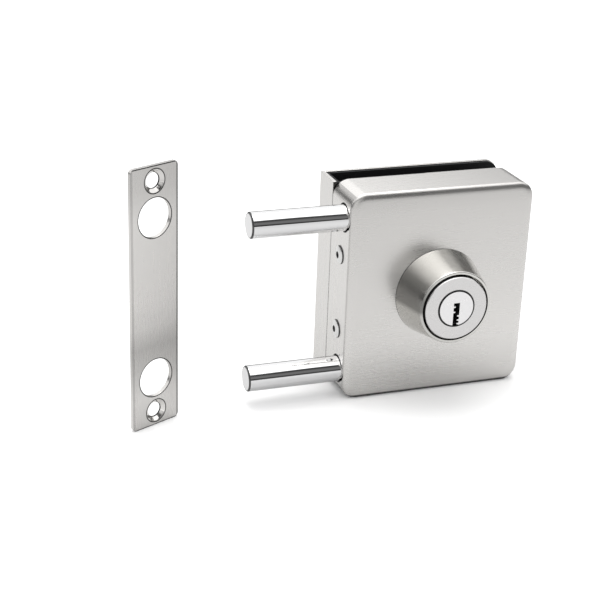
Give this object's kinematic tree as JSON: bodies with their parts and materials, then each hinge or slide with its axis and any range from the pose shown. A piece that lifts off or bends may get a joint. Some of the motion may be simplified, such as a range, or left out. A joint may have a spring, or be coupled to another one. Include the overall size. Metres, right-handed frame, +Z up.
{
  "type": "sliding door lock",
  "caption": "Surface lock for a sliding glass door: satin steel case on a glass clamp, conical key cylinder, round chrome bolts, and a matching strike plate.",
  "frame": {"origin": "on the bottom of the cover, straight under the key cylinder, in the plane of the two bolts", "axes": "+X away from the strike, so the bolts point to -X; +Y to the back of the door; +Z up"},
  "size_m": [0.1886, 0.0608, 0.119],
  "materials": {
    "satin_case": "satin brushed stainless steel, grain along X",
    "satin_rose": "satin turned steel, grain round the cone",
    "satin_strike": "satin brushed stainless steel, grain along the length",
    "barrel_nickel": "fine pearl nickel plate",
    "plug_nickel": "bright pearl nickel plate",
    "bolt_chrome": "polished chrome plate",
    "screw_steel": "bright stainless steel",
    "zinc_sheet": "zinc-plated steel sheet",
    "zinc_screw": "zinc-plated machine screws",
    "turned_brass": "plain turned brass",
    "cast_zinc": "die-cast zinc, as cast",
    "black_acetal": "moulded acetal",
    "black_rubber": "matt black rubber sheet",
    "spring_steel": "drawn spring wire"
  },
  "bodies": {
    "root": {"front_cover": "satin_case", "back_plate": "satin_case", "chassis_plate": "zinc_sheet", "cylinder_bracket": "zinc_sheet", "side_screws": "screw_steel", "clamp_sleeves": "zinc_screw", "clamp_screws": "zinc_screw", "front_gasket": "black_rubber", "back_gasket": "black_rubber", "edge_pad": "black_rubber", "upper_guide_block": "black_acetal", "lower_guide_block": "black_acetal", "guide_block_screws": "zinc_screw", "upper_rail": "zinc_sheet", "lower_rail": "zinc_sheet", "cylinder_rose": "satin_rose", "cylinder_housing": "barrel_nickel", "cylinder_nut": "turned_brass", "driver_pins": "turned_brass", "pin_springs": "spring_steel", "strike_plate": "satin_strike"},
    "key_plug": {"cylinder_plug": "plug_nickel", "plug_clip": "spring_steel", "key_pins": "turned_brass", "pinion": "turned_brass", "pinion_screw": "zinc_screw"},
    "bolts": {"upper_bolt": "bolt_chrome", "lower_bolt": "bolt_chrome", "upper_carrier": "cast_zinc", "lower_carrier": "cast_zinc", "carrier_pins": "zinc_screw", "carrier_screws": "zinc_screw", "bolt_carriage": "zinc_sheet", "rack": "turned_brass", "rack_screws": "zinc_screw"}
  },
  "joints": [
    {"name": "key_turn", "type": "hinge", "parent": "root", "child": "key_plug", "pos_m": [0, 0, 0.0495], "axis": [0, -1, 0], "range_deg": [0, 360]},
    {"name": "bolt_throw", "type": "slide", "parent": "root", "child": "bolts", "axis": [1, 0, 0], "range_m": [0, 0.04084]}
  ],
  "couplings": [
    {"joint": "key_turn", "follows": "bolt_throw", "rad_per_m": 153.85}
  ]
}
